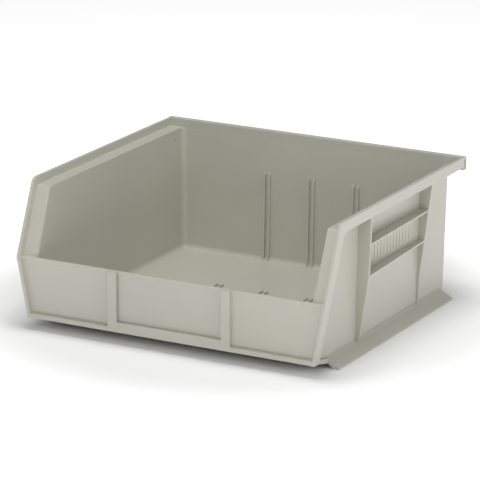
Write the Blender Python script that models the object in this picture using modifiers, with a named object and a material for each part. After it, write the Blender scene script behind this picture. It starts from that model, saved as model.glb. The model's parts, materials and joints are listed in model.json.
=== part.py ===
"""Stackable, hangable storage bin with a hopper front.

One open-topped injection moulding in stone-grey polymer.  It is modelled as
the moulding's own sections, one closed solid each: the tub, the two stacking
rims, the rear hang lip, the borders, strips and bead of the front label frame,
the side ribs, the two toe skirts and the two base runners.

Metres, +Z up, front of the bin towards -Y.  The origin is the centre of the
footprint, on the surface that the bin stands on.
"""
import math

import bmesh
import bpy
from mathutils import Vector

# ------------------------------------------------------------ overall sizes
WIDTH = 0.419            # across the outside of the two stacking rims
LENGTH = 0.377           # front label frame to the back of the hang lip
HEIGHT = 0.180           # standing surface to the top of the rim
LIP_HEIGHT = 0.090       # top of the low front wall
RIM_SETBACK = 0.0385     # how far the top rim starts behind the front

# ------------------------------------------------------------ tub
WALL = 0.003
FLOOR_TOP = 0.009        # inside floor above the standing surface
SIDE_DRAFT = 0.003       # each side wall leans in by this, ledge to floor
BACK_DRAFT = 0.0045      # the back wall leans in by this, rim to floor
FLOOR_FILLET = 0.007     # inside radius along the floor and the back corners
FILLET_STEPS = 4
TOE_LENGTH = 0.036       # sloped stretch of floor behind the front wall
TOE_RISE = 0.0085

# ------------------------------------------------------------ stacking rim
RIM_THICK = 0.004
RIM_DEPTH = 0.010        # upstand above the ledge
LEDGE_WIDTH = 0.0175     # where the runners of the bin above rest
RIM_CORNER = 0.010       # outside radius of the rim's front top corner
LEDGE_CORNER = 0.005     # radius of the ledge at the same corner
CORNER_STEPS = 5
RIM_FOOT_LEAN = 0.0145   # how far each rim leans in from the lip to the bottom edge
RIM_FOOT_Z = 0.0155      # bottom edge of the front

# ------------------------------------------------------------ hang lip
HOOK_GAP = 0.0029        # slot that drops over a louvre
HOOK_PLATE = 0.0025
HOOK_DROP = 0.0167

# ------------------------------------------------------------ label frame
FIELD_DEPTH = 0.0055     # label fields behind the front of the frame
LABEL_WIDTH = 0.142      # middle label field
STRIP_WIDTH = 0.012      # strip on each side of it
BORDER_HEIGHT = 0.0055   # border under the outer fields
CENTRE_BORDER = 0.0125   # taller border under the middle field
BEAD_DEPTH = 0.002       # bead behind the top of the front wall
BEAD_HEIGHT = 0.0035

# ------------------------------------------------------------ side ribs
RIB_THICK = 0.003
FRONT_RIB_Y = -0.0685    # middle of the front upright rib
REAR_RIB_Y = 0.0965      # middle of the rear upright rib
SHELF_THICK = 0.0025
UPPER_SHELF_Z = 0.134
LOWER_SHELF_Z = 0.0945
RIB_INSET = 0.0015       # rib edge inside the rim plane, at the top
SHOULDER_TAPER = 0.0025  # how much the front rib narrows down to its shoulder
RIB_FOOT_Z = 0.0165
FRONT_RIB_FOOT = 0.005   # how far the front rib stands out at its foot
REAR_RIB_KNEE_Z = 0.044  # the rear rib tapers down to here, then runs beside the wall
REAR_RIB_KNEE = 0.003    # how far it stands out there
REAR_RIB_FOOT = 0.002    # and at its foot

# ------------------------------------------------------------ base runners
STACK_CLEARANCE = 0.0008  # runner to the upstand of the rim that it sits in
RUNNER_FRONT_GAP = 0.0435  # front of the bin to the front of the runner
RUNNER_REAR_GAP = 0.0225   # back of the hang lip to the back of the runner
FOOT_WIDTH = 0.0065
FOOT_HEIGHT = 0.0028
RUNNER_TOP_Z = 0.0135
FLARE_TOP_Z = 0.0100     # where the flare leaves the wall
FLARE_TOP_SHARE = 0.15   # share of the runner's reach that it has by then
FLARE_LOW_Z = 0.0042     # where the flare turns level
FLARE_LOW_SHARE = 0.78
RUNNER_STEPS = 5
SEAT_ANGLE = math.radians(42)  # how far the runner reaches under the tub's rounded edge
SKIRT_THICK = 0.0022     # skirt along the rising toe, where it meets the runner
SKIRT_HEIGHT = 0.0055
SKIRT_END_Z = 0.006

# ------------------------------------------------------------ divider slots
SLOT_PITCH = 0.063       # the slots divide the bin in halves and in thirds
SLOT_COUNT = 3
SLOT_GAP = 0.0048        # free width between the two ribs of a slot
SLOT_RIB_WIDTH = 0.0023
SLOT_RIB_RAISE = 0.0030
SLOT_RIB_TOP = 0.1255
FLOOR_SLOT_REACH = 0.235  # length of the floor ribs behind the front wall
RIB_BITE = 0.0012        # how deep a slot rib roots in the wall it stands on

# ------------------------------------------------------------ holes
ROD_HOLE_RADIUS = 0.00225
ROD_HOLE_FROM_BACK = 0.0295
ROD_HOLE_Z = 0.157
HOLE_SIDES = 20

CLEARANCE = 0.0003       # between neighbouring sections

# ------------------------------------------------------------ derived places
FRONT_Y = -LENGTH / 2
BACK_Y = LENGTH / 2
HALF_WIDTH = WIDTH / 2
SLOPE_ANGLE = math.atan2(HEIGHT - LIP_HEIGHT, RIM_SETBACK)  # slope of the hopper front
RIM_FRONT_Y = FRONT_Y + RIM_SETBACK
LEDGE_TOP = HEIGHT - RIM_DEPTH
LEDGE_UNDER = LEDGE_TOP - WALL
WALL_TOP_X = HALF_WIDTH - RIM_THICK - LEDGE_WIDTH
FIELD_Y = FRONT_Y + FIELD_DEPTH
FRONT_INNER_Y = FIELD_Y + WALL
BACK_TOP_Y = BACK_Y - HOOK_PLATE - HOOK_GAP - WALL
RIM_FOOT_HALF = HALF_WIDTH - RIM_FOOT_LEAN
STRIP_OUTER = LABEL_WIDTH / 2 + STRIP_WIDTH
RUNNER_HALF = HALF_WIDTH - RIM_THICK - STACK_CLEARANCE


def wall_x(z):
    """Half width between the inner faces of the side walls at height z."""
    return WALL_TOP_X - SIDE_DRAFT * (LEDGE_TOP - z) / (LEDGE_TOP - FLOOR_TOP)


def outer_x(z):
    """Outer face of a side wall, with the clearance that neighbours keep."""
    return wall_x(z) + WALL + CLEARANCE


def back_y(z):
    """Inner face of the back wall at height z."""
    return BACK_TOP_Y - BACK_DRAFT * (HEIGHT - z) / (HEIGHT - FLOOR_TOP)


def rim_foot_lean(z):
    """How far the rim has leaned in at height z, below the front lip."""
    share = max(0.0, (LIP_HEIGHT - z) / (LIP_HEIGHT - RIM_FOOT_Z))
    return share * RIM_FOOT_LEAN


def corner_arc(depth, radius):
    """Points (y, z) round the front top corner, from the top to the slope.

    The arc's centre lies this deep below both the top and the slope.
    """
    centre_y = RIM_FRONT_Y + depth * math.tan(SLOPE_ANGLE / 2)
    centre_z = HEIGHT - depth
    angles = [SLOPE_ANGLE * i / CORNER_STEPS for i in range(CORNER_STEPS + 1)]
    return [(centre_y - radius * math.sin(a), centre_z + radius * math.cos(a)) for a in angles]


# ------------------------------------------------------------ scene helpers
def clear_scene():
    for obj in list(bpy.data.objects):
        bpy.data.objects.remove(obj, do_unlink=True)


def new_collection(name):
    collection = bpy.data.collections.new(name)
    bpy.context.scene.collection.children.link(collection)
    return collection


def polymer(name, colour, roughness):
    material = bpy.data.materials.new(name)
    material.use_nodes = True
    shader = material.node_tree.nodes["Principled BSDF"]
    shader.inputs["Base Color"].default_value = (*colour, 1.0)
    shader.inputs["Roughness"].default_value = roughness
    shader.inputs["Metallic"].default_value = 0.0
    return material


def mesh_object(name, bm, collection, material=None):
    bmesh.ops.recalc_face_normals(bm, faces=bm.faces[:])
    mesh = bpy.data.meshes.new(name)
    bm.to_mesh(mesh)
    bm.free()
    obj = bpy.data.objects.new(name, mesh)
    collection.objects.link(obj)
    if material:
        mesh.materials.append(material)
    return obj


def make_helper(obj):
    """Cutters and joined-on shapes are not part of the finished object."""
    obj.hide_render = True
    obj.display_type = "WIRE"
    return obj


def add_boolean(obj, other, operation):
    modifier = obj.modifiers.new(operation.lower(), "BOOLEAN")
    modifier.operation = operation
    modifier.solver = "EXACT"
    modifier.object = other


def loft(bm, rings):
    """Closed solid through rings of points, capped at both ends."""
    loops = [[bm.verts.new(point) for point in ring] for ring in rings]
    count = len(loops[0])
    for near, far in zip(loops, loops[1:]):
        for i in range(count):
            j = (i + 1) % count
            bm.faces.new((near[i], near[j], far[j], far[i]))
    bm.faces.new(loops[0])
    bm.faces.new(list(reversed(loops[-1])))


def prism(bm, outline, axis, start, end):
    """Extrude a flat outline along X, Y or Z.

    The outline's points are (y, z) for X, (x, z) for Y and (x, y) for Z.
    """
    def place(a, b, along):
        if axis == "X":
            return (along, a, b)
        if axis == "Y":
            return (a, along, b)
        return (a, b, along)

    loft(bm, [[place(a, b, along) for a, b in outline] for along in (start, end)])


# ------------------------------------------------------------ tub
def tub_surface():
    """Inner surface of the tub: floor, sloped toe and four walls."""
    toe_y = FRONT_INNER_Y + TOE_LENGTH
    toe_z = FLOOR_TOP + TOE_RISE
    bm = bmesh.new()
    corner = {}
    for side in (-1, 1):
        corner[side] = [
            bm.verts.new((side * wall_x(toe_z), FRONT_INNER_Y, toe_z)),
            bm.verts.new((side * wall_x(FLOOR_TOP), toe_y, FLOOR_TOP)),
            bm.verts.new((side * wall_x(FLOOR_TOP), back_y(FLOOR_TOP), FLOOR_TOP)),
            bm.verts.new((side * wall_x(HEIGHT), back_y(HEIGHT), HEIGHT)),
            bm.verts.new((side * wall_x(HEIGHT), FRONT_INNER_Y, HEIGHT)),
        ]
        bm.faces.new(corner[side])
    left, right = corner[-1], corner[1]
    for i, j in ((0, 1), (1, 2), (2, 3), (4, 0)):
        bm.faces.new((left[i], left[j], right[j], right[i]))
    bmesh.ops.recalc_face_normals(bm, faces=bm.faces[:])
    middle = Vector((0.0, 0.0, HEIGHT / 2))
    if sum(f.normal.dot(f.calc_center_median() - middle) for f in bm.faces) < 0:
        bmesh.ops.reverse_faces(bm, faces=bm.faces[:])
    rounded = [e for e in bm.edges if is_rounded_edge(e)]
    bmesh.ops.bevel(bm, geom=rounded, offset=FLOOR_FILLET, segments=FILLET_STEPS,
                    profile=0.5, affect="EDGES", clamp_overlap=True)
    return bm


def is_rounded_edge(edge):
    """Edges along the floor and up the two back corners are rounded."""
    if len(edge.link_faces) != 2:
        return False
    low, high = sorted(edge.verts, key=lambda v: v.co.z)
    along_floor = high.co.z < FLOOR_TOP + TOE_RISE + 1e-6
    toe_fold = abs(low.co.y - high.co.y) < 1e-6 and abs(
        low.co.y - (FRONT_INNER_Y + TOE_LENGTH)) < 1e-6
    back_corner = high.co.z > HEIGHT / 2 and low.co.y > 0
    return (along_floor and not toe_fold) or back_corner


def opening_outline():
    """Side view of all that is cut away above the tub, as (y, z) points."""
    depth = RIM_DEPTH + WALL + CLEARANCE
    foot_y = FRONT_Y + depth / math.sin(SLOPE_ANGLE)
    corner = corner_arc(RIM_DEPTH + LEDGE_CORNER, LEDGE_CORNER - WALL - CLEARANCE)
    top_z = HEIGHT - depth
    return [(-LENGTH, LIP_HEIGHT), (foot_y, LIP_HEIGHT), *reversed(corner),
            (LENGTH, top_z), (LENGTH, 2 * HEIGHT), (-LENGTH, 2 * HEIGHT)]


def slot_rib_positions():
    offset = (SLOT_GAP + SLOT_RIB_WIDTH) / 2
    for number in range(SLOT_COUNT):
        centre = (number - (SLOT_COUNT - 1) / 2) * SLOT_PITCH
        yield centre - offset
        yield centre + offset


def slot_ribs():
    """Ribs of the divider slots, on the back wall and on the floor."""
    bm = bmesh.new()
    half = SLOT_RIB_WIDTH / 2
    back_outline = [
        (back_y(FLOOR_TOP) - SLOT_RIB_RAISE, FLOOR_TOP + FLOOR_FILLET / 2),
        (back_y(FLOOR_TOP) + RIB_BITE, FLOOR_TOP + FLOOR_FILLET / 2),
        (back_y(SLOT_RIB_TOP) + RIB_BITE, SLOT_RIB_TOP),
        (back_y(SLOT_RIB_TOP) - SLOT_RIB_RAISE / 3, SLOT_RIB_TOP),
        (back_y(SLOT_RIB_TOP) - SLOT_RIB_RAISE, SLOT_RIB_TOP - SLOT_RIB_RAISE),
    ]
    toe_y = FRONT_INNER_Y + TOE_LENGTH
    end_y = FRONT_INNER_Y + FLOOR_SLOT_REACH
    top = FLOOR_TOP + SLOT_RIB_RAISE
    floor_outline = [
        (toe_y, FLOOR_TOP - RIB_BITE),
        (end_y, FLOOR_TOP - RIB_BITE),
        (end_y, FLOOR_TOP + SLOT_RIB_RAISE / 3),
        (end_y - SLOT_RIB_RAISE, top),
        (toe_y, top),
    ]
    for x in slot_rib_positions():
        prism(bm, back_outline, "X", x - half, x + half)
        prism(bm, floor_outline, "X", x - half, x + half)
    return bm


def rod_holes(bm):
    y = BACK_Y - ROD_HOLE_FROM_BACK
    turn = 2 * math.pi / HOLE_SIDES
    ring = [(y + ROD_HOLE_RADIUS * math.cos(i * turn),
             ROD_HOLE_Z + ROD_HOLE_RADIUS * math.sin(i * turn)) for i in range(HOLE_SIDES)]
    for side in (-1, 1):
        prism(bm, ring, "X", side * (WALL_TOP_X - 4 * WALL), side * (WALL_TOP_X + 4 * WALL))


def build_tub(parts, helpers, material):
    tub = mesh_object("tub_shell", tub_surface(), parts, material)
    shell = tub.modifiers.new("wall", "SOLIDIFY")
    shell.thickness = WALL
    shell.offset = 1.0
    shell.use_even_offset = True
    shell.use_quality_normals = True

    bm = bmesh.new()
    prism(bm, opening_outline(), "X", -WIDTH, WIDTH)
    add_boolean(tub, make_helper(mesh_object("opening_cutter", bm, helpers)), "DIFFERENCE")
    bm = bmesh.new()
    rod_holes(bm)
    add_boolean(tub, make_helper(mesh_object("rod_hole_cutter", bm, helpers)), "DIFFERENCE")
    ribs = make_helper(mesh_object("divider_slot_ribs", slot_ribs(), helpers))
    add_boolean(tub, ribs, "UNION")
    tub.data.shade_smooth()
    tub.data.set_sharp_from_angle(angle=math.radians(30))


# ------------------------------------------------------------ stacking rims
def rim_stations():
    """Side-view stations of the rim, each as its top, ledge and underside (y, z).

    The rim runs from the back along the top, round the front corner and down
    the slope to the lip.
    """
    depths = (0.0, RIM_DEPTH, RIM_DEPTH + WALL)
    back = BACK_TOP_Y - CLEARANCE
    stations = [[(back, HEIGHT - depth) for depth in depths]]
    ledge_centre = RIM_DEPTH + LEDGE_CORNER
    stations += zip(corner_arc(RIM_CORNER, RIM_CORNER), corner_arc(ledge_centre, LEDGE_CORNER),
                    corner_arc(ledge_centre, LEDGE_CORNER - WALL))
    end_z = LIP_HEIGHT + CLEARANCE
    end_y = FRONT_Y + CLEARANCE / math.tan(SLOPE_ANGLE)
    stations.append([(end_y + depth / math.sin(SLOPE_ANGLE), end_z) for depth in depths])
    return stations


def rim_ring(station, side):
    """L-shaped section of the rim: upstand outside, ledge inside."""
    top, ledge, under = station
    inner = HALF_WIDTH - RIM_THICK
    section = [(HALF_WIDTH, top), (inner, top), (inner, ledge), (WALL_TOP_X, ledge),
               (WALL_TOP_X, under), (HALF_WIDTH, under)]
    return [(side * x, y, z) for x, (y, z) in section]


def build_rim(name, side, parts, material):
    bm = bmesh.new()
    loft(bm, [rim_ring(station, side) for station in rim_stations()])
    rim = mesh_object(name, bm, parts, material)
    rim.data.shade_smooth()
    rim.data.set_sharp_from_angle(angle=math.radians(30))


# ------------------------------------------------------------ hang lip
def build_hang_lip(parts, material):
    """Inverted channel along the top of the back wall."""
    web_foot = LEDGE_UNDER
    web_back = BACK_TOP_Y + WALL
    plate_front = BACK_Y - HOOK_PLATE
    outline = [
        (BACK_TOP_Y, web_foot), (web_back, web_foot), (web_back, HEIGHT - WALL),
        (plate_front, HEIGHT - WALL), (plate_front, HEIGHT - HOOK_DROP),
        (BACK_Y, HEIGHT - HOOK_DROP), (BACK_Y, HEIGHT), (BACK_TOP_Y, HEIGHT),
    ]
    bm = bmesh.new()
    prism(bm, outline, "X", -HALF_WIDTH, HALF_WIDTH)
    mesh_object("rear_hang_lip", bm, parts, material)


# ------------------------------------------------------------ label frame
def build_side_border(name, side, parts, material):
    """Outer border of the label frame, below the lip, with its part of the field."""
    bm = bmesh.new()
    rings = []
    back = FRONT_Y + RIM_DEPTH + WALL
    for z in (RIM_FOOT_Z, LIP_HEIGHT):
        outer = HALF_WIDTH - rim_foot_lean(z)
        inner = outer - RIM_THICK
        wall = outer_x(z)
        section = [(outer, FRONT_Y), (inner, FRONT_Y), (inner, FIELD_Y), (wall, FIELD_Y),
                   (wall, FIELD_Y + WALL), (inner, FIELD_Y + WALL), (inner, back), (outer, back)]
        rings.append([(side * x, y, z) for x, y in section])
    loft(bm, rings)
    mesh_object(name, bm, parts, material)


def build_bottom_border(parts, material):
    """Border along the foot of the front wall, taller under the middle field."""
    half = RIM_FOOT_HALF - RIM_THICK - 2 * CLEARANCE
    middle = LABEL_WIDTH / 2 - CLEARANCE
    low_top = RIM_FOOT_Z + BORDER_HEIGHT
    high_top = RIM_FOOT_Z + CENTRE_BORDER
    outline = [(-half, RIM_FOOT_Z), (half, RIM_FOOT_Z), (half, low_top), (middle, low_top),
               (middle, high_top), (-middle, high_top), (-middle, low_top), (-half, low_top)]
    bm = bmesh.new()
    prism(bm, outline, "Y", FRONT_Y, FIELD_Y - CLEARANCE)
    mesh_object("front_bottom_border", bm, parts, material)


def build_label_strip(name, side, parts, material):
    """Raised upright strip between two label fields."""
    low = RIM_FOOT_Z + BORDER_HEIGHT + CLEARANCE
    high = LIP_HEIGHT
    inner = side * LABEL_WIDTH / 2
    outer = side * STRIP_OUTER
    bm = bmesh.new()
    prism(bm, [(inner, low), (outer, low), (outer, high), (inner, high)], "Y",
          FRONT_Y, FIELD_Y - CLEARANCE)
    mesh_object(name, bm, parts, material)


def build_lip_bead(parts, material):
    """Stiffening bead behind the top of the front wall."""
    low = LIP_HEIGHT - BEAD_HEIGHT
    half = wall_x(low) - CLEARANCE
    bm = bmesh.new()
    prism(bm, [(-half, low), (half, low), (half, LIP_HEIGHT), (-half, LIP_HEIGHT)], "Y",
          FRONT_INNER_Y + CLEARANCE, FRONT_INNER_Y + BEAD_DEPTH)
    mesh_object("front_lip_bead", bm, parts, material)


# ------------------------------------------------------------ side ribs
def edge_between(z, low, high):
    """X at height z on the straight edge through two (x, z) points."""
    return low[0] + (high[0] - low[0]) * (z - low[1]) / (high[1] - low[1])


def front_rib_x(z):
    """Outer edge of the front rib: nearly upright, then tapered to the wall."""
    top = (HALF_WIDTH - RIB_INSET, LEDGE_UNDER)
    shoulder = (top[0] - SHOULDER_TAPER, LOWER_SHELF_Z)
    foot = (outer_x(RIB_FOOT_Z) + FRONT_RIB_FOOT, RIB_FOOT_Z)
    if z >= LOWER_SHELF_Z:
        return edge_between(z, shoulder, top)
    return edge_between(z, foot, shoulder)


def rear_rib_x(z):
    """Outer edge of the rear rib: tapered down to its knee, then beside the wall."""
    top = (HALF_WIDTH - RIB_INSET, LEDGE_UNDER)
    knee = (outer_x(REAR_RIB_KNEE_Z) + REAR_RIB_KNEE, REAR_RIB_KNEE_Z)
    foot = (outer_x(RIB_FOOT_Z) + REAR_RIB_FOOT, RIB_FOOT_Z)
    if z >= REAR_RIB_KNEE_Z:
        return edge_between(z, knee, top)
    return edge_between(z, foot, knee)


def build_upright_rib(name, side, middle_y, edge_x, heights, parts, material):
    """Rib from the underside of the rim down the side wall."""
    outline = [(side * outer_x(z), z) for z in (heights[0], heights[-1])]
    outline += [(side * edge_x(z), z) for z in reversed(heights)]
    bm = bmesh.new()
    prism(bm, outline, "Y", middle_y - RIB_THICK / 2, middle_y + RIB_THICK / 2)
    mesh_object(name, bm, parts, material)


def build_shelf_rib(name, side, top_z, parts, material):
    """Level rib between the two uprights, its edge following both of them."""
    low_z = top_z - SHELF_THICK
    wall = outer_x(top_z)
    gap = RIB_THICK / 2 + CLEARANCE
    rings = []
    for y, edge_x in ((FRONT_RIB_Y + gap, front_rib_x), (REAR_RIB_Y - gap, rear_rib_x)):
        edge = edge_x(low_z)
        rings.append([(side * wall, y, low_z), (side * edge, y, low_z),
                      (side * edge, y, top_z), (side * wall, y, top_z)])
    bm = bmesh.new()
    loft(bm, rings)
    mesh_object(name, bm, parts, material)


def build_side_ribs(label, side, parts, material):
    top = LEDGE_UNDER - CLEARANCE
    build_upright_rib(label + "_front_rib", side, FRONT_RIB_Y, front_rib_x,
                      (RIB_FOOT_Z, LOWER_SHELF_Z, top), parts, material)
    build_upright_rib(label + "_rear_rib", side, REAR_RIB_Y, rear_rib_x,
                      (RIB_FOOT_Z, REAR_RIB_KNEE_Z, top), parts, material)
    build_shelf_rib(label + "_upper_rib", side, UPPER_SHELF_Z, parts, material)
    build_shelf_rib(label + "_lower_rib", side, LOWER_SHELF_Z, parts, material)


# ------------------------------------------------------------ base runners
def runner_outline():
    """Section of a flared runner, following the tub's rounded lower edge."""
    radius = FLOOR_FILLET + WALL + CLEARANCE
    centre_x = wall_x(FLOOR_TOP) - FLOOR_FILLET
    centre_z = FLOOR_TOP + FLOOR_FILLET
    first = math.asin((centre_z - RUNNER_TOP_Z) / radius)
    seat = []
    for i in range(RUNNER_STEPS + 1):
        angle = SEAT_ANGLE + (first - SEAT_ANGLE) * i / RUNNER_STEPS
        seat.append((centre_x + radius * math.cos(angle), centre_z - radius * math.sin(angle)))
    top_x = seat[-1][0]
    reach = RUNNER_HALF - top_x
    flare = [(top_x + FLARE_TOP_SHARE * reach, FLARE_TOP_Z),
             (top_x + FLARE_LOW_SHARE * reach, FLARE_LOW_Z),
             (RUNNER_HALF, FOOT_HEIGHT), (RUNNER_HALF, 0.0), (RUNNER_HALF - FOOT_WIDTH, 0.0)]
    return seat + flare


def build_runner(name, side, parts, material):
    outline = [(side * x, z) for x, z in runner_outline()]
    bm = bmesh.new()
    prism(bm, outline, "Y", FRONT_Y + RUNNER_FRONT_GAP, BACK_Y - RUNNER_REAR_GAP)
    mesh_object(name, bm, parts, material)


def build_toe_skirt(name, side, parts, material):
    """Skirt along the rising toe, from the side border back to the runner.

    Its front end always reaches out to the middle of the border's foot.
    """
    front = FRONT_Y + RIM_DEPTH + WALL + CLEARANCE
    back = FRONT_Y + RUNNER_FRONT_GAP - CLEARANCE
    wall = outer_x(RIM_FOOT_Z + SKIRT_HEIGHT)
    rings = []
    for y, low, edge in ((front, RIM_FOOT_Z, RIM_FOOT_HALF - RIM_THICK / 2),
                         (back, SKIRT_END_Z, wall + SKIRT_THICK)):
        high = low + SKIRT_HEIGHT
        rings.append([(side * wall, y, low), (side * edge, y, low),
                      (side * edge, y, high), (side * wall, y, high)])
    bm = bmesh.new()
    loft(bm, rings)
    mesh_object(name, bm, parts, material)


# ------------------------------------------------------------ assembly
def build():
    clear_scene()
    parts = new_collection("stackable_storage_bin")
    helpers = new_collection("cutters")
    stone = (0.42, 0.41, 0.35)

    build_tub(parts, helpers, polymer("tub_polymer", stone, 0.42))
    build_hang_lip(parts, polymer("hang_lip_polymer", stone, 0.40))
    build_bottom_border(parts, polymer("border_polymer", stone, 0.44))
    build_lip_bead(parts, polymer("bead_polymer", stone, 0.40))
    for label, side in (("left", -1), ("right", 1)):
        build_label_strip(label + "_label_strip", side, parts,
                          polymer(label + "_strip_polymer", stone, 0.44))
        build_rim(label + "_stacking_rim", side, parts,
                  polymer(label + "_rim_polymer", stone, 0.38))
        build_side_ribs(label, side, parts, polymer(label + "_rib_polymer", stone, 0.44))
        build_side_border(label + "_side_border", side, parts,
                          polymer(label + "_border_polymer", stone, 0.44))
        build_toe_skirt(label + "_toe_skirt", side, parts,
                        polymer(label + "_skirt_polymer", stone, 0.46))
        build_runner(label + "_base_runner", side, parts,
                     polymer(label + "_runner_polymer", stone, 0.46))


build()
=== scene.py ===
"""Looks of the stackable storage bin: one continuous semi-gloss moulding.

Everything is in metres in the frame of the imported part: +Z up, the open
hopper front towards -Y, the origin on the floor at the footprint's centre.
"""

import json
import math

import bmesh
import bpy
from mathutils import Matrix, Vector

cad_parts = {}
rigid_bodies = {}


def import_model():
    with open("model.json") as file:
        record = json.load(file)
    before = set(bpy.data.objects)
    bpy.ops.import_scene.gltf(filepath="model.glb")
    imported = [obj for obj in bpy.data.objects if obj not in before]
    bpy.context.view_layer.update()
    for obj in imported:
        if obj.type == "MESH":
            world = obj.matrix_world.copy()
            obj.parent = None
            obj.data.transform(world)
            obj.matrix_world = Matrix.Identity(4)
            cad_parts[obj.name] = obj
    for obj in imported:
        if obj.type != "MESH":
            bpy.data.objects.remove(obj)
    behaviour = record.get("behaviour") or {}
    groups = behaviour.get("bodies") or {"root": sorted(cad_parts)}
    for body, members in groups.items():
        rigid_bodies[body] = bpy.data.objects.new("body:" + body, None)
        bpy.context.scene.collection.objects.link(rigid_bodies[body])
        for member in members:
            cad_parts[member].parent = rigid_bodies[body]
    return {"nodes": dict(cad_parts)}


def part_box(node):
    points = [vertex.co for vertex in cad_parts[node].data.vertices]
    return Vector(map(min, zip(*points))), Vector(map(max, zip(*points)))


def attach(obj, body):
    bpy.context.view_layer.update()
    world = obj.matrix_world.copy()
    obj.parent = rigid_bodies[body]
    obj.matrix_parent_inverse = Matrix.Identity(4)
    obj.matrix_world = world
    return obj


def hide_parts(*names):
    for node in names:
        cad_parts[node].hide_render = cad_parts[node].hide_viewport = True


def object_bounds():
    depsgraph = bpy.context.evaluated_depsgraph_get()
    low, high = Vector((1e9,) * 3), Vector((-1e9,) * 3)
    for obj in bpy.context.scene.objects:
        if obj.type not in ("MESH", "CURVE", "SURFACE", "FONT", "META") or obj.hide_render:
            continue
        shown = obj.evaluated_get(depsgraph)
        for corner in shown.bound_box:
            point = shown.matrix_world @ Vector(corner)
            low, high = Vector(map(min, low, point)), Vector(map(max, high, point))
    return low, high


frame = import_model()
cad_low, cad_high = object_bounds()

# ------------------------------------------------------------ sizes from the frame
HALF_WIDTH = cad_high.x
FRONT_Y = cad_low.y
BACK_Y = cad_high.y
HEIGHT = cad_high.z
_, BEAD_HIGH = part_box("front_lip_bead")
BORDER_LOW, BORDER_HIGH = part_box("front_bottom_border")
STRIP_LOW, STRIP_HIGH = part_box("right_label_strip")
HOOK_LOW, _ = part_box("rear_hang_lip")
RUNNER_LOW, RUNNER_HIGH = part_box("right_base_runner")
FRONT_RIB_LOW, FRONT_RIB_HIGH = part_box("right_front_rib")
REAR_RIB_LOW, REAR_RIB_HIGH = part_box("right_rear_rib")
UPPER_RIB_LOW, UPPER_RIB_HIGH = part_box("right_upper_rib")
LOWER_RIB_LOW, LOWER_RIB_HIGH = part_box("right_lower_rib")
SKIRT_LOW, SKIRT_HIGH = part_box("right_toe_skirt")

LIP_Z = BEAD_HIGH.z              # top of the low front wall
FOOT_Z = BORDER_LOW.z            # bottom edge of the front

# ------------------------------------------------------------ sizes of the moulding
FOOT_HALF = 0.195                # half width at the front's bottom edge
RIM_SETBACK = 0.0385             # from the lip back to where the slope would reach the top

WALL = 0.003
FLOOR_TOP = 0.009
SIDE_DRAFT = 0.003
BACK_DRAFT = 0.0045
FLOOR_FILLET = 0.007
FILLET_STEPS = 15
TOE_LENGTH = 0.036               # the floor rises towards the front wall over this length
TOE_RISE = 0.0085

RIM_THICK = 0.004
RIM_DEPTH = 0.010
LEDGE_WIDTH = 0.0175
RIM_CORNER = 0.010
LEDGE_CORNER = 0.005
FIELD_DEPTH = 0.0055
BORDER_HEIGHT = 0.0055
BEAD_HEIGHT = 0.0035
BEAD_OVERHANG = 0.0006
BEAD_ROUND = 0.0015
SHELF_DROP = 0.0003              # lip shelf and strips stop this far under the lip
FRAME_ROUND = 0.0009
GROOVE_REACH = 0.0014            # card groove under the edges of the middle field
GROOVE_DEPTH = 0.0013
HOOK_PLATE = 0.0025
FLARE_TOP = 0.0125               # the runner's flare leaves the side wall here
FOOT_HEIGHT = 0.0028
FOOT_WIDTH = 0.0065
TIP_ROUND = 0.0006
FLARE_PULLS = ((0.0008, 0.0100), (0.0045, 0.0078))     # from the wall: out, and height
UNDER_PULLS = ((-0.0040, 0.0030), (0.0015, 0.0065))    # from the foot, then from the wall
UNDER_END = (-0.0020, 0.0090)
FLARE_STEPS = 12
UNDER_STEPS = 6
SKIRT_THICK = 0.0022
SKIRT_HEIGHT = 0.0055

LEDGE_TOP = HEIGHT - RIM_DEPTH
LEDGE_UNDER = LEDGE_TOP - WALL
WALL_TOP_X = HALF_WIDTH - RIM_THICK - LEDGE_WIDTH
FIELD_Y = FRONT_Y + FIELD_DEPTH
FRONT_INNER_Y = FIELD_Y + WALL
BACK_TOP_Y = HOOK_LOW.y
RIM_FRONT_Y = FRONT_Y + RIM_SETBACK
SLOPE_ANGLE = math.atan2(HEIGHT - LIP_Z, RIM_SETBACK)

SLOT_PITCH = 0.063
SLOT_GAP = 0.0048
SLOT_RIB_WIDTH = 0.0023
SLOT_RIB_RAISE = 0.0030
SLOT_RIB_TOP = 0.1255
SLOT_RIB_SIDES = (-1, 1)         # a slot has a rib on each side
SLOT_NUMBERS = (-1, 0, 1)
SLOT_TIP_SHARE = 0.4             # of a slot rib's raise, left at its end
SLOT_FOOT_SHARE = 0.3            # of the floor fillet, where the wall ribs begin
FLOOR_SLOT_REACH = 0.235

SHOULDER_TAPER = 0.0025
FRONT_RIB_FOOT = 0.005
REAR_RIB_KNEE_Z = 0.044
REAR_RIB_KNEE = 0.003
REAR_RIB_FOOT = 0.002
RUNNER_OVERLAP = 0.005           # the upright ribs run down into the runners

BAR_COUNT = 14
BAR_WIDTH = 0.0024
BAR_PITCH = 0.0085
BAR_HEIGHT = 0.022
BAR_RAISE = 0.0008
BAR_MIDDLE_Y = 0.014

ROD_HOLE_SETBACK = 0.0295        # from the back of the bin
ROD_HOLE_Z = 0.157
ROD_HOLE_RADIUS = 0.00225
ROD_HOLE_SIDES = 32

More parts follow.
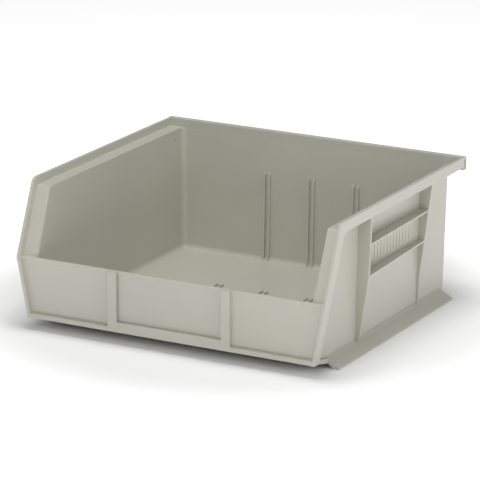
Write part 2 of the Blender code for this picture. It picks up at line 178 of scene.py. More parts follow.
BITE = 0.0012                    # how deep neighbouring solids run into each other
FAR = 1.0                        # cutters run out to here, well past the bin
EDGE_ROUND = 0.0007              # the mould's usual edge radius
FINE_ROUND = 0.0004
ROUND_STEPS = 3
BEAD_STEPS = 5
RIM_CORNER_STEPS = 12
MOST_OF_SIDE = 1 / 2.2           # a corner's arc takes no more of a side than this
ROUNDED_FROM = math.radians(25)  # edges sharper than this are rounded
MERGE_DISTANCE = 1e-6
JOIN_DISTANCE = 1e-5             # the joined mesh is cleaned to this distance
CORNER_ANGLE = math.radians(32)  # edges sharper than this are shaded sharp
SLIGHT_TURN = CORNER_ANGLE / 4   # an outline's corners below this half turn stay as they are
FOLD_ANGLE = math.radians(3.2)   # and slighter folds too, round a large flat face
FLAT_ANGLE = math.radians(0.5)
LARGE_FLAT = 8e-4                # square metres
AREA_WEIGHT = 100                # shading normals follow the larger faces
NO_ANGLE = 9.0                   # in place of the angle to a face without a normal


def wall_x(z):
    """Half width between the inner faces of the side walls at height z."""
    return WALL_TOP_X - SIDE_DRAFT * (LEDGE_TOP - z) / (LEDGE_TOP - FLOOR_TOP)


def back_y(z):
    """Inner face of the back wall at height z."""
    return BACK_TOP_Y - BACK_DRAFT * (HEIGHT - z) / (HEIGHT - FLOOR_TOP)


def foot_lean(z):
    """How far the rim has leaned in at height z, below the front lip."""
    share = max(0.0, (LIP_Z - z) / (LIP_Z - FOOT_Z))
    return share * (HALF_WIDTH - FOOT_HALF)


def corner_arc(depth, radius):
    """Points (y, z) round the rim's front top corner, from the top to the slope."""
    centre_y = RIM_FRONT_Y + depth * math.tan(SLOPE_ANGLE / 2)
    centre_z = HEIGHT - depth
    angles = [SLOPE_ANGLE * i / RIM_CORNER_STEPS for i in range(RIM_CORNER_STEPS + 1)]
    return [(centre_y - radius * math.sin(a), centre_z + radius * math.cos(a)) for a in angles]


# ------------------------------------------------------------ mesh helpers
def loft(bm, rings):
    """Closed solid through rings of points, capped at both ends."""
    loops = [[bm.verts.new(point) for point in ring] for ring in rings]
    count = len(loops[0])
    for near, far in zip(loops, loops[1:]):
        for i in range(count):
            j = (i + 1) % count
            bm.faces.new((near[i], near[j], far[j], far[i]))
    bm.faces.new(loops[0])
    bm.faces.new(list(reversed(loops[-1])))


def prism(bm, outline, axis, start, end):
    """Extrude a flat outline, (y, z) along X or (x, z) along Y."""
    def place(a, b, along):
        return (along, a, b) if axis == "X" else (a, along, b)

    loft(bm, [[place(a, b, along) for a, b in outline] for along in (start, end)])


def round_edges(bm, radius, keep=None):
    """Round the sharp outside edges; keep(edge) tells which may be rounded."""
    bmesh.ops.recalc_face_normals(bm, faces=bm.faces[:])
    sharp = [e for e in bm.edges
             if len(e.link_faces) == 2
             and e.calc_face_angle(0.0) > ROUNDED_FROM
             and (keep is None or keep(e))]
    bmesh.ops.bevel(bm, geom=sharp, offset=radius, segments=ROUND_STEPS, profile=0.5,
                    affect="EDGES", clamp_overlap=True)
    bmesh.ops.remove_doubles(bm, verts=bm.verts[:], dist=MERGE_DISTANCE)


def round_outline(points, radius, steps=ROUND_STEPS):
    """Closed flat outline with each corner turned into an arc."""
    rounded = []
    for i, point in enumerate(points):
        corner = Vector(point)
        back = Vector(points[i - 1]) - corner
        ahead = Vector(points[(i + 1) % len(points)]) - corner
        half_turn = (math.pi - back.angle(ahead)) / 2
        if half_turn < SLIGHT_TURN:
            rounded.append(tuple(corner))
            continue
        cut = min(radius * math.tan(half_turn),
                  back.length * MOST_OF_SIDE, ahead.length * MOST_OF_SIDE)
        start, end = corner + back.normalized() * cut, corner + ahead.normalized() * cut
        for step in range(steps + 1):
            t = step / steps
            rounded.append(tuple(start * (1 - t) ** 2 + corner * 2 * t * (1 - t) + end * t * t))
    return rounded


def new_object(name, bm, collection):
    """Object made of this mesh, in this collection."""
    bmesh.ops.recalc_face_normals(bm, faces=bm.faces[:])
    mesh = bpy.data.meshes.new(name)
    bm.to_mesh(mesh)
    bm.free()
    obj = bpy.data.objects.new(name, mesh)
    collection.objects.link(obj)
    return obj


def evaluated_mesh(obj):
    """Mesh of the object with its modifiers applied."""
    graph = bpy.context.evaluated_depsgraph_get()
    return bpy.data.meshes.new_from_object(obj.evaluated_get(graph))


def apply_modifiers(obj):
    obj.data = evaluated_mesh(obj)
    obj.modifiers.clear()


def add_boolean(obj, other, operation):
    modifier = obj.modifiers.new(operation.lower(), "BOOLEAN")
    modifier.operation = operation
    modifier.solver = "EXACT"
    modifier.object = other


# ------------------------------------------------------------ tub
def tub_solid(work):
    """Floor, rising toe and four walls, cut down to the lip and to the rims' slope."""
    toe_y = FRONT_INNER_Y + TOE_LENGTH
    toe_z = FLOOR_TOP + TOE_RISE
    bm = bmesh.new()
    corner = {}
    for side in (-1, 1):
        corner[side] = [
            bm.verts.new((side * wall_x(toe_z), FRONT_INNER_Y, toe_z)),
            bm.verts.new((side * wall_x(FLOOR_TOP), toe_y, FLOOR_TOP)),
            bm.verts.new((side * wall_x(FLOOR_TOP), back_y(FLOOR_TOP), FLOOR_TOP)),
            bm.verts.new((side * wall_x(HEIGHT), back_y(HEIGHT), HEIGHT)),
            bm.verts.new((side * wall_x(HEIGHT), FRONT_INNER_Y, HEIGHT)),
        ]
        bm.faces.new(corner[side])
    left, right = corner[-1], corner[1]
    for i, j in ((0, 1), (1, 2), (2, 3), (4, 0)):
        bm.faces.new((left[i], left[j], right[j], right[i]))
    bmesh.ops.recalc_face_normals(bm, faces=bm.faces[:])
    middle = Vector((0.0, 0.0, HEIGHT / 2))
    if sum(f.normal.dot(f.calc_center_median() - middle) for f in bm.faces) < 0:
        bmesh.ops.reverse_faces(bm, faces=bm.faces[:])

    def rounded(edge):
        if len(edge.link_faces) != 2:
            return False
        low, high = sorted(edge.verts, key=lambda v: v.co.z)
        along_floor = high.co.z < toe_z + MERGE_DISTANCE
        fold = all(abs(vert.co.y - toe_y) < MERGE_DISTANCE for vert in edge.verts)
        back_corner = high.co.z > HEIGHT / 2 and low.co.y > 0
        return (along_floor and not fold) or back_corner

    bmesh.ops.bevel(bm, geom=[e for e in bm.edges if rounded(e)], offset=FLOOR_FILLET,
                    segments=FILLET_STEPS, profile=0.5, affect="EDGES", clamp_overlap=True)
    tub = bpy.data.meshes.new("tub")
    bm.to_mesh(tub)
    bm.free()
    obj = bpy.data.objects.new("tub", tub)
    work.objects.link(obj)
    shell = obj.modifiers.new("wall", "SOLIDIFY")
    shell.thickness = WALL
    shell.offset = 1.0
    shell.use_even_offset = True
    shell.use_quality_normals = True

    bm = bmesh.new()
    depth = RIM_DEPTH + WALL / 2
    foot_y = FRONT_Y + depth / math.sin(SLOPE_ANGLE)
    arc = corner_arc(RIM_DEPTH + LEDGE_CORNER, LEDGE_CORNER - WALL / 2)
    top_z = HEIGHT - depth
    lip_cut = LIP_Z - WALL / 2
    prism(bm, [(-FAR, lip_cut), (foot_y, lip_cut), (foot_y, LIP_Z), *reversed(arc),
               (FAR, top_z), (FAR, FAR), (-FAR, FAR)], "X", -FAR, FAR)
    add_boolean(obj, new_object("tub_cutter", bm, work), "DIFFERENCE")
    apply_modifiers(obj)
    return obj


# ------------------------------------------------------------ rims
def place_at_depth(station, depths, depth):
    """Point (y, z) of a rim station this deep below its top."""
    part = 0 if depth <= depths[1] else 1
    share = (depth - depths[part]) / (depths[part + 1] - depths[part])
    near, far = station[part], station[part + 1]
    return (near[0] + (far[0] - near[0]) * share, near[1] + (far[1] - near[1]) * share)


def rim_solid(side, work):
    """Upstand and ledge, from the hang lip round the corner down to the lip."""
    depths = (0.0, RIM_DEPTH, RIM_DEPTH + WALL)
    stations = [[(BACK_TOP_Y + WALL / 2, HEIGHT - depth) for depth in depths]]
    centre = RIM_DEPTH + LEDGE_CORNER
    stations += zip(corner_arc(RIM_CORNER, RIM_CORNER), corner_arc(centre, LEDGE_CORNER),
                    corner_arc(centre, LEDGE_CORNER - WALL))
    stations.append([(FRONT_Y + depth / math.sin(SLOPE_ANGLE), LIP_Z) for depth in depths])
    below = LIP_Z - WALL - BITE
    stations.append([(FRONT_Y + depth / math.sin(SLOPE_ANGLE), below) for depth in depths])
    inner = HALF_WIDTH - RIM_THICK
    section = round_outline([(HALF_WIDTH, 0.0), (inner, 0.0), (inner, RIM_DEPTH),
                             (WALL_TOP_X, RIM_DEPTH), (WALL_TOP_X, RIM_DEPTH + WALL),
                             (HALF_WIDTH, RIM_DEPTH + WALL)], EDGE_ROUND)
    bm = bmesh.new()
    rings = []
    for station in stations:
        rings.append([(side * x, *place_at_depth(station, depths, depth))
                      for x, depth in section])
    loft(bm, rings)
    return new_object("rim", bm, work)


def side_border_solid(side, work):
    """Outer border of the label frame below the lip, with its part of the field."""
    back = FRONT_Y + RIM_DEPTH + WALL
    bm = bmesh.new()
    rings = []
    for z in (FOOT_Z, LIP_Z):
        outer = HALF_WIDTH - foot_lean(z)
        inner = outer - RIM_THICK
        wall = wall_x(z)
        section = [(outer, FRONT_Y), (inner, FRONT_Y), (inner, FIELD_Y), (wall, FIELD_Y),
                   (wall, FIELD_Y + WALL), (inner, FIELD_Y + WALL), (inner, back), (outer, back)]
        rings.append([(side * x, y, z) for x, y in round_outline(section, EDGE_ROUND)])
    loft(bm, rings)
    return new_object("side_border", bm, work)


def lip_shelf_solid(side, work):
    """Level shelf that joins the label field to the foot of the sloped ledge."""
    back = FRONT_Y + (RIM_DEPTH + WALL) / math.sin(SLOPE_ANGLE)
    bm = bmesh.new()
    low, top = LIP_Z - WALL, LIP_Z - SHELF_DROP
    near = side * (wall_x(LIP_Z) + WALL / 3)
    far = side * (HALF_WIDTH - RIM_THICK / 2)
    prism(bm, [(near, low), (far, low), (far, top), (near, top)], "Y",
          FIELD_Y + BEAD_ROUND, back)
    return new_object("lip_shelf", bm, work)


def hang_lip_solid(work):
    """Inverted channel along the top of the back wall, which drops over a louvre."""
    web_back = BACK_TOP_Y + WALL
    plate_front = BACK_Y - HOOK_PLATE
    outline = [
        (BACK_TOP_Y, LEDGE_UNDER - WALL), (web_back, LEDGE_UNDER - WALL),
        (web_back, HEIGHT - WALL), (plate_front, HEIGHT - WALL),
        (plate_front, HOOK_LOW.z), (BACK_Y, HOOK_LOW.z), (BACK_Y, HEIGHT), (BACK_TOP_Y, HEIGHT),
    ]
    bm = bmesh.new()
    prism(bm, round_outline(outline, EDGE_ROUND), "X", -HALF_WIDTH, HALF_WIDTH)
    return new_object("hang_lip", bm, work)


# ------------------------------------------------------------ front frame
def label_frame_solid(work):
    """Strips and bottom border, with a card groove round the middle field."""
    half = FOOT_HALF - RIM_THICK / 2
    low_top = FOOT_Z + BORDER_HEIGHT
    inner, outer = STRIP_LOW.x, STRIP_HIGH.x
    top = LIP_Z - SHELF_DROP
    outline = [(-half, FOOT_Z), (half, FOOT_Z), (half, low_top), (outer, low_top),
               (outer, top), (inner, top), (inner, BORDER_HIGH.z), (-inner, BORDER_HIGH.z),
               (-inner, top), (-outer, top), (-outer, low_top), (-half, low_top)]
    bm = bmesh.new()
    prism(bm, outline, "Y", FRONT_Y, FIELD_Y + WALL / 2)
    round_edges(bm, FRAME_ROUND, keep=lambda e: max(v.co.y for v in e.verts) < FIELD_Y)
    frame_object = new_object("label_frame", bm, work)

    reach = inner + GROOVE_REACH
    groove_low = BORDER_HIGH.z - GROOVE_REACH
    bm = bmesh.new()
    prism(bm, [(-reach, groove_low), (reach, groove_low), (reach, FAR), (-reach, FAR)], "Y",
          FIELD_Y - GROOVE_DEPTH, FIELD_Y + BITE)
    add_boolean(frame_object, new_object("groove_cutter", bm, work), "DIFFERENCE")
    apply_modifiers(frame_object)
    return frame_object


def lip_bead_solid(work):
    """Rounded bead along the top of the front wall, out to both rims."""
    half = HALF_WIDTH - RIM_THICK / 2
    low = LIP_Z - BEAD_HEIGHT
    near, far = FIELD_Y - BEAD_OVERHANG, BEAD_HIGH.y
    bm = bmesh.new()
    outline = [(near, low), (far, low), (far, LIP_Z), (near, LIP_Z)]
    prism(bm, round_outline(outline, BEAD_ROUND, steps=BEAD_STEPS), "X", -half, half)
    return new_object("lip_bead", bm, work)


# ------------------------------------------------------------ side ribs
def edge_between(z, low, high):
    """X at height z on the straight edge through two (x, z) points."""
    return low[0] + (high[0] - low[0]) * (z - low[1]) / (high[1] - low[1])


RIB_TOP = (FRONT_RIB_HIGH.x, LEDGE_UNDER)
SHOULDER = (FRONT_RIB_HIGH.x - SHOULDER_TAPER, LOWER_RIB_HIGH.z)
KNEE = (wall_x(REAR_RIB_KNEE_Z) + WALL + REAR_RIB_KNEE, REAR_RIB_KNEE_Z)


def rib_foot(stand_out):
    """Foot of an upright rib, run down into the base runner."""
    z = FRONT_RIB_LOW.z - RUNNER_OVERLAP
    return (wall_x(z) + WALL + stand_out, z)


def is_free_edge(edge):
    """True on the outside of a rib, false where it roots in the wall."""
    return min(abs(vert.co.x) for vert in edge.verts) > wall_x(HEIGHT) + WALL


def upright_rib(side, low_y, high_y, knee, foot, work):
    """Upright rib, its outer edge running from the foot past the knee to the ledge."""
    top = LEDGE_UNDER + BITE
    edge = [foot, knee, (edge_between(top, knee, RIB_TOP), top)]
    outline = [(side * (wall_x(z) + BITE), z) for z in (foot[1], top)]
    outline += [(side * x, z) for x, z in reversed(edge)]
    bm = bmesh.new()
    prism(bm, outline, "Y", low_y, high_y)
    round_edges(bm, FINE_ROUND, keep=is_free_edge)
    return new_object("upright_rib", bm, work)


def level_rib(side, low, high, work):
    """Level rib, its outer edge running from one upright rib to the other."""
    ends = ((FRONT_RIB_HIGH.y - BITE, SHOULDER), (REAR_RIB_LOW.y + BITE, KNEE))
    wall = wall_x(high.z) + BITE
    rings = []
    for y, knee in ends:
        edge = edge_between(low.z, knee, RIB_TOP)
        rings.append([(side * wall, y, low.z), (side * edge, y, low.z),
                      (side * edge, y, high.z), (side * wall, y, high.z)])
    bm = bmesh.new()
    loft(bm, rings)
    round_edges(bm, FINE_ROUND, keep=is_free_edge)
    return new_object("level_rib", bm, work)


def side_rib_solids(side, work):
    """Two upright and two level ribs of one side."""
    return [
        upright_rib(side, FRONT_RIB_LOW.y, FRONT_RIB_HIGH.y, SHOULDER,
                    rib_foot(FRONT_RIB_FOOT), work),
        upright_rib(side, REAR_RIB_LOW.y, REAR_RIB_HIGH.y, KNEE, rib_foot(REAR_RIB_FOOT), work),
        level_rib(side, UPPER_RIB_LOW, UPPER_RIB_HIGH, work),
        level_rib(side, LOWER_RIB_LOW, LOWER_RIB_HIGH, work),
    ]


# ------------------------------------------------------------ raised bars on the side panel
def side_bar_solids(side, work):
    """Plain upright bars, a generic grip pattern between the two level ribs."""
    middle_z = (LOWER_RIB_HIGH.z + UPPER_RIB_LOW.z) / 2
    low, high = middle_z - BAR_HEIGHT / 2, middle_z + BAR_HEIGHT / 2
    wall = wall_x(middle_z)
    pieces = []
    for i in range(BAR_COUNT):
        y = BAR_MIDDLE_Y + BAR_PITCH * (i - (BAR_COUNT - 1) / 2)
        near, far = y - BAR_WIDTH / 2, y + BAR_WIDTH / 2
        bm = bmesh.new()
        prism(bm, [(near, low), (far, low), (far, high), (near, high)], "X",
              side * (wall + BITE), side * (wall + WALL + BAR_RAISE))
        round_edges(bm, FINE_ROUND)
        pieces.append(new_object("grip_bar", bm, work))
    return pieces


# ------------------------------------------------------------ runners
def curve_points(start, first, second, end, steps):
    """Points along a cubic Bezier curve in a plane."""
    controls = (start, first, second, end)
    points = []
    for i in range(steps + 1):
        t = i / steps
        shares = ((1 - t) ** 3, 3 * t * (1 - t) ** 2, 3 * t ** 2 * (1 - t), t ** 3)
        points.append(tuple(sum(share * control[axis] for share, control
                                in zip(shares, controls))
                            for axis in (0, 1)))
    return points


def runner_solid(side, work):
    """Thin flared flange that curves out from the foot of the side wall."""
    half = RUNNER_HIGH.x
    wall = wall_x(FLARE_TOP) + WALL
    foot = half - FOOT_WIDTH
    (out_1, z_1), (out_2, z_2) = FLARE_PULLS
    flare = curve_points((wall, FLARE_TOP), (wall + out_1, z_1), (wall + out_2, z_2),
                         (half - TIP_ROUND, FOOT_HEIGHT), FLARE_STEPS)
    tip = [(half, FOOT_HEIGHT - TIP_ROUND), (half, TIP_ROUND), (half - TIP_ROUND, 0.0)]
    (out_1, z_1), (out_2, z_2) = UNDER_PULLS
    under = curve_points((foot, 0.0), (foot + out_1, z_1), (wall + out_2, z_2),
                         (wall + UNDER_END[0], UNDER_END[1]), UNDER_STEPS)
    root = [(wall - WALL / 2, FLARE_TOP)]
    bm = bmesh.new()
    prism(bm, [(side * x, z) for x, z in flare + tip + under + root], "Y",
          RUNNER_LOW.y, RUNNER_HIGH.y)
    return new_object("runner", bm, work)


def toe_skirt_solid(side, work):
    """Skirt along the rising toe, from the side border back to the runner."""
    wall = wall_x(FOOT_Z) + WALL / 2
    ends = ((FIELD_Y + WALL / 2, FOOT_Z, SKIRT_HIGH.x),
            (RUNNER_LOW.y + BITE, SKIRT_LOW.z, wall + WALL / 2 + SKIRT_THICK))
    rings = []
    for y, low, edge in ends:
        high = low + SKIRT_HEIGHT
        rings.append([(side * wall, y, low), (side * edge, y, low),
                      (side * edge, y, high), (side * wall, y, high)])
    bm = bmesh.new()
    loft(bm, rings)
    return new_object("toe_skirt", bm, work)


# ------------------------------------------------------------ divider slots
def slot_rib_solids(work):
    """Pairs of ribs that hold a divider, on the back wall and on the floor."""
    half = SLOT_RIB_WIDTH / 2
    offset = (SLOT_GAP + SLOT_RIB_WIDTH) / 2
    toe_y = FRONT_INNER_Y + TOE_LENGTH
    toe_slope = TOE_RISE / TOE_LENGTH
    end_y = FRONT_INNER_Y + FLOOR_SLOT_REACH
    top = FLOOR_TOP + SLOT_RIB_RAISE
    low = FLOOR_TOP + FLOOR_FILLET * SLOT_FOOT_SHARE
    tip = SLOT_RIB_RAISE * SLOT_TIP_SHARE
    back = [
        (back_y(FLOOR_TOP) - SLOT_RIB_RAISE, low), (back_y(FLOOR_TOP) + BITE, low),
        (back_y(SLOT_RIB_TOP) + BITE, SLOT_RIB_TOP),
        (back_y(SLOT_RIB_TOP) - tip, SLOT_RIB_TOP),
        (back_y(SLOT_RIB_TOP) - SLOT_RIB_RAISE, SLOT_RIB_TOP - SLOT_RIB_RAISE),
    ]
    floor = [
        (FRONT_INNER_Y - BITE, FLOOR_TOP + TOE_RISE - BITE), (toe_y, FLOOR_TOP - BITE),
        (end_y, FLOOR_TOP - BITE), (end_y, FLOOR_TOP + tip),
        (end_y - SLOT_RIB_RAISE, top), (toe_y, top),
        (FRONT_INNER_Y - BITE, top + TOE_RISE + BITE * toe_slope),
    ]
    pieces = []
    for slot in SLOT_NUMBERS:
        for hand in SLOT_RIB_SIDES:
            x = slot * SLOT_PITCH + hand * offset
            for outline in (back, floor):
                bm = bmesh.new()
                prism(bm, outline, "X", x - half, x + half)
                pieces.append(new_object("slot_rib", bm, work))
    return pieces


# ------------------------------------------------------------ one moulding
def flat_areas(bm):
    """Area of the flat region that each face belongs to, by face index."""
    areas = {}
    for start in bm.faces:
        if start.index in areas:
            continue
        region, queue, seen = [], [start], {start.index}
        while queue:
            face = queue.pop()
            region.append(face)
            for edge in face.edges:
                for other in edge.link_faces:
                    turn = other.normal.angle(start.normal, NO_ANGLE)
                    if other.index in seen or turn > FLAT_ANGLE:
                        continue
                    seen.add(other.index)
                    queue.append(other)
        total = sum(face.calc_area() for face in region)
        for face in region:
            areas.setdefault(face.index, total)
    return areas


def mark_sharp_edges(mesh):
    """Sharp at hard corners and round large flat faces, smooth along all curves."""
    bm = bmesh.new()
    bm.from_mesh(mesh)
    bmesh.ops.remove_doubles(bm, verts=bm.verts[:], dist=JOIN_DISTANCE)
    bmesh.ops.dissolve_degenerate(bm, edges=bm.edges[:], dist=JOIN_DISTANCE)
    bm.faces.index_update()
    areas = flat_areas(bm)
    for face in bm.faces:
        face.smooth = True
    for edge in bm.edges:
        if len(edge.link_faces) != 2:
            continue
        angle = edge.calc_face_angle(0.0)
        beside_flat = max(areas[face.index] for face in edge.link_faces) > LARGE_FLAT
        edge.smooth = not (angle > CORNER_ANGLE or (beside_flat and angle > FOLD_ANGLE))
    bm.to_mesh(mesh)
    bm.free()


def rod_hole_cutter(work):
    """Round bar through both side walls, near the back."""
    turn = 2 * math.pi / ROD_HOLE_SIDES
    middle_y = BACK_Y - ROD_HOLE_SETBACK
    ring = [(middle_y + ROD_HOLE_RADIUS * math.cos(i * turn),
             ROD_HOLE_Z + ROD_HOLE_RADIUS * math.sin(i * turn))
            for i in range(ROD_HOLE_SIDES)]
    bm = bmesh.new()
    prism(bm, ring, "X", -FAR, FAR)
    return new_object("hole_cutter", bm, work)


def build_moulding():
    """Join all the solids into one mesh, cut the rod holes and set the shading."""
    work = bpy.data.collections.new("work")
    bpy.context.scene.collection.children.link(work)
    tub = tub_solid(work)
    solids = [make(work) for make in (hang_lip_solid, label_frame_solid, lip_bead_solid)]
    solids += slot_rib_solids(work)
    for side in (-1, 1):
        for make in (rim_solid, side_border_solid, lip_shelf_solid, runner_solid,
                     toe_skirt_solid):
            solids.append(make(side, work))
        solids += side_rib_solids(side, work)
        solids += side_bar_solids(side, work)

    joined = bpy.data.collections.new("joined")
    bpy.context.scene.collection.children.link(joined)
    for solid in solids:
        joined.objects.link(solid)
    union = tub.modifiers.new("union", "BOOLEAN")
    union.operation = "UNION"
    union.solver = "EXACT"
    union.operand_type = "COLLECTION"
    union.collection = joined

    add_boolean(tub, rod_hole_cutter(work), "DIFFERENCE")
    mesh = evaluated_mesh(tub)
    for name in {obj.name for obj in work.objects} | {obj.name for obj in joined.objects}:
        bpy.data.objects.remove(bpy.data.objects[name], do_unlink=True)
    for collection in (work, joined):
        bpy.data.collections.remove(collection)

    bin_object = bpy.data.objects.new("bin_moulding", mesh)
    bpy.context.scene.collection.objects.link(bin_object)
    mark_sharp_edges(mesh)
    normals = bin_object.modifiers.new("weighted_normals", "WEIGHTED_NORMAL")
    normals.mode = "FACE_AREA"
    normals.weight = AREA_WEIGHT
    normals.keep_sharp = True
    return bin_object


# ------------------------------------------------------------ materials
POLYMER_DARK = (0.502, 0.497, 0.432)     # the two ends of the faint colour variation
POLYMER_LIGHT = (0.528, 0.523, 0.455)
# painted highlight: paler colour along the edges, partly rubbed wear
PALE_EDGE_HIGHLIGHT_AND_WEAR = (0.575, 0.570, 0.505)
# painted shade: darker colour in the bottom few millimetres, where the bin meets the floor
FOOT_SHADE_COLOUR = (0.440, 0.430, 0.370)
POLYMER_IOR = 1.49
CLOUD_SCALE, CLOUD_DETAIL = 9.0, 3.0     # noise scales are repeats in a metre
PATCH_SCALE, PATCH_DETAIL = 160.0, 6.0
GRAIN_SCALE, GRAIN_DETAIL = 1400.0, 2.0
GRAIN_STRENGTH = 0.10
GRAIN_HEIGHT = 0.0002
HIGHLIGHT_AND_WEAR_REACH = 0.0012                      # how far the painted edge highlight and the wear spread from an edge
HIGHLIGHT_AND_WEAR_SAMPLES = 4
EDGE_AGREEMENT = (0.995, 0.93)           # of the two normals: none, and the full painted edge highlight and wear
PATCH_RANGE = (0.46, 0.62)
FOOT_SHADE_HEIGHT = 0.0045
FOOT_SHADE_SHARE = 0.8
CLOUD_RANGE = (0.3, 0.7)                 # of the noise, for the colour
GLOSS_CLOUD_RANGE = (0.25, 0.75)         # of the same noise, for the roughness
GLOSS_RANGE = (0.29, 0.39)               # roughness
RUBBED_ROUGHNESS = 0.12                  # more where the edges are rubbed
ALL = (0.0, 1.0)


def noise(nodes, links, place, scale, detail):
    """Noise in the object's own coordinates."""
    texture = nodes.new("ShaderNodeTexNoise")
    texture.inputs["Scale"].default_value = scale
    texture.inputs["Detail"].default_value = detail
    links.new(place.outputs["Object"], texture.inputs["Vector"])
    return texture.outputs["Fac"]


def remap(nodes, links, value, source, result):
    """Map a value linearly from one range to another."""
    node = nodes.new("ShaderNodeMapRange")
    node.inputs["From Min"].default_value, node.inputs["From Max"].default_value = source
    node.inputs["To Min"].default_value, node.inputs["To Max"].default_value = result
    links.new(value, node.inputs["Value"])
    return node.outputs["Result"]


def arithmetic(nodes, links, operation, first, second):
    node = nodes.new("ShaderNodeMath")
    node.operation = operation
    links.new(first, node.inputs[0])
    links.new(second, node.inputs[1])
    return node.outputs["Value"]


def blend_colour(nodes, links, share, first, second):
    """Blend two colours, each a constant or the output of a node."""
    node = nodes.new("ShaderNodeMix")
    node.data_type = "RGBA"
    links.new(share, node.inputs["Factor"])
    for socket, colour in (("A", first), ("B", second)):
        target = next(i for i in node.inputs if i.name == socket and i.type == "RGBA")
        if isinstance(colour, tuple):
            target.default_value = (*colour, 1.0)
        else:
            links.new(colour, target)
    return next(o for o in node.outputs if o.type == "RGBA")


def edge_mask(nodes, links):
    """1 on edges and 0 on flat faces, from how far a rounded normal leaves the true one."""
    rounded = nodes.new("ShaderNodeBevel")
    rounded.samples = HIGHLIGHT_AND_WEAR_SAMPLES
    rounded.inputs["Radius"].default_value = HIGHLIGHT_AND_WEAR_REACH
    surface = nodes.new("ShaderNodeNewGeometry")
    agreement = nodes.new("ShaderNodeVectorMath")
    agreement.operation = "DOT_PRODUCT"
    links.new(rounded.outputs["Normal"], agreement.inputs[0])
    links.new(surface.outputs["Normal"], agreement.inputs[1])
    return remap(nodes, links, agreement.outputs["Value"], EDGE_AGREEMENT, ALL)


def polymer_material():
    """Stone-grey polymer: semi-gloss, flow clouds, mould grain, painted highlight and wear on
    the edges, painted shade at the feet.
    """
    material = bpy.data.materials.new("stone_grey_polymer")
    material.use_nodes = True
    tree = material.node_tree
    nodes, links = tree.nodes, tree.links
    shader = nodes["Principled BSDF"]
    shader.inputs["IOR"].default_value = POLYMER_IOR
    place = nodes.new("ShaderNodeTexCoord")
    height = nodes.new("ShaderNodeSeparateXYZ")
    links.new(place.outputs["Object"], height.inputs["Vector"])

    clouds = noise(nodes, links, place, CLOUD_SCALE, CLOUD_DETAIL)
    patch_noise = noise(nodes, links, place, PATCH_SCALE, PATCH_DETAIL)
    patchy = remap(nodes, links, patch_noise, PATCH_RANGE, ALL)
    feet = remap(nodes, links, height.outputs["Z"], (FOOT_SHADE_HEIGHT, 0.0), (0.0, FOOT_SHADE_SHARE))
    # painted highlight along every edge, partly rubbed wear, broken up in patches
    edge_highlight_and_wear = arithmetic(nodes, links, "MULTIPLY", edge_mask(nodes, links), patchy)
    # painted shade near the floor, broken up in patches
    painted_foot_shade = arithmetic(nodes, links, "MULTIPLY", feet, patchy)

    cloud_share = remap(nodes, links, clouds, CLOUD_RANGE, ALL)
    base = blend_colour(nodes, links, cloud_share, POLYMER_DARK, POLYMER_LIGHT)
    highlighted_and_worn = blend_colour(nodes, links, edge_highlight_and_wear, base, PALE_EDGE_HIGHLIGHT_AND_WEAR)
    final = blend_colour(nodes, links, painted_foot_shade, highlighted_and_worn, FOOT_SHADE_COLOUR)
    links.new(final, shader.inputs["Base Color"])

    gloss = remap(nodes, links, clouds, GLOSS_CLOUD_RANGE, GLOSS_RANGE)
    extra = remap(nodes, links, edge_highlight_and_wear, ALL, (0.0, RUBBED_ROUGHNESS))
    links.new(arithmetic(nodes, links, "ADD", gloss, extra), shader.inputs["Roughness"])

    bump = nodes.new("ShaderNodeBump")
    bump.inputs["Strength"].default_value = GRAIN_STRENGTH
    bump.inputs["Distance"].default_value = GRAIN_HEIGHT
    grain = noise(nodes, links, place, GRAIN_SCALE, GRAIN_DETAIL)
    links.new(grain, bump.inputs["Height"])
    links.new(bump.outputs["Normal"], shader.inputs["Normal"])
    return material


# ------------------------------------------------------------ studio
WORLD_LIGHT = 0.25
FLOOR_HALF = 6.0
PAPER_WHITE = 0.97
PAPER_ROUGHNESS = 0.9
FLOOR_GLOW = 0.50
GLOW_START, GLOW_FULL = 0.26, 0.44       # distances from the middle of the bin
LIGHT_AIM = Vector((0.0, 0.0, 0.05))
SOFTBOXES = (                            # name, place, width, watts
    ("top", (0.0, -0.1, 2.4), 1.0, 24.5),
    ("front", (0.6, -2.6, 1.9), 1.6, 25.5),
    ("right", (2.4, -0.4, 1.1), 1.4, 12.0),
    ("right_low", (2.3, 0.0, 0.35), 0.7, 3.0),
)
CAMERA_PLACE = (1.883, -3.4523, 1.2597)
CAMERA_LENS = 251.8                      # millimetres, on a sensor 36 mm wide
CAMERA_SENSOR = 36.0
CAMERA_TILT = 16.544                     # degrees below level
CAMERA_TURN = 28.683                     # degrees round from the front of the bin
CAMERA_REACH = 50.0


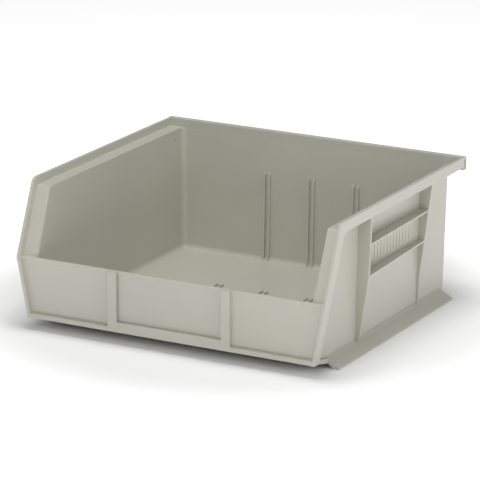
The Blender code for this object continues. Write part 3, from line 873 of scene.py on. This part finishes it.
def floor_material():
    """White paper that glows far from the bin, like the walls of a light tent."""
    paper = bpy.data.materials.new("white_paper")
    paper.use_nodes = True
    nodes, links = paper.node_tree.nodes, paper.node_tree.links
    shader = nodes["Principled BSDF"]
    shader.inputs["Base Color"].default_value = (PAPER_WHITE, PAPER_WHITE, PAPER_WHITE, 1.0)
    shader.inputs["Roughness"].default_value = PAPER_ROUGHNESS
    shader.inputs["Emission Color"].default_value = (1.0, 1.0, 1.0, 1.0)
    place = nodes.new("ShaderNodeTexCoord")
    distance = nodes.new("ShaderNodeVectorMath")
    distance.operation = "LENGTH"
    links.new(place.outputs["Object"], distance.inputs[0])
    glow = nodes.new("ShaderNodeMapRange")
    glow.interpolation_type = "SMOOTHSTEP"
    glow.inputs["From Min"].default_value = GLOW_START
    glow.inputs["From Max"].default_value = GLOW_FULL
    glow.inputs["To Max"].default_value = FLOOR_GLOW
    links.new(distance.outputs["Value"], glow.inputs["Value"])
    links.new(glow.outputs["Result"], shader.inputs["Emission Strength"])
    return paper


def softbox(name, place, width, power):
    """Square area light that faces the bin."""
    light = bpy.data.lights.new(name, "AREA")
    light.shape = "SQUARE"
    light.size = width
    light.energy = power
    lamp = bpy.data.objects.new(name, light)
    lamp.location = place
    aim = LIGHT_AIM - lamp.location
    lamp.rotation_euler = aim.to_track_quat("-Z", "Y").to_euler()
    bpy.context.scene.collection.objects.link(lamp)


def build_studio():
    """Pale floor, even world light and soft area lights."""
    mesh = bpy.data.meshes.new("floor")
    bm = bmesh.new()
    bmesh.ops.create_grid(bm, x_segments=1, y_segments=1, size=FLOOR_HALF)
    bm.to_mesh(mesh)
    bm.free()
    floor = bpy.data.objects.new("floor", mesh)
    bpy.context.scene.collection.objects.link(floor)
    mesh.materials.append(floor_material())

    world = bpy.data.worlds.new("studio")
    bpy.context.scene.world = world
    world.use_nodes = True
    background = world.node_tree.nodes["Background"]
    background.inputs["Color"].default_value = (1.0, 1.0, 1.0, 1.0)
    background.inputs["Strength"].default_value = WORLD_LIGHT

    for name, place, width, power in SOFTBOXES:
        softbox(name, place, width, power)


def build_camera():
    """Camera at the photograph's viewing angle."""
    camera = bpy.data.cameras.new("camera")
    camera.sensor_width = CAMERA_SENSOR
    camera.lens = CAMERA_LENS
    camera.clip_end = CAMERA_REACH
    obj = bpy.data.objects.new("camera", camera)
    obj.location = CAMERA_PLACE
    obj.rotation_euler = (math.radians(90.0 - CAMERA_TILT), 0.0, math.radians(CAMERA_TURN))
    bpy.context.scene.collection.objects.link(obj)
    bpy.context.scene.camera = obj


bpy.context.scene.view_settings.view_transform = "Standard"
build_camera()
build_studio()
moulding = build_moulding()
moulding.data.materials.append(polymer_material())
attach(moulding, "root")
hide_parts(*sorted(frame["nodes"]))
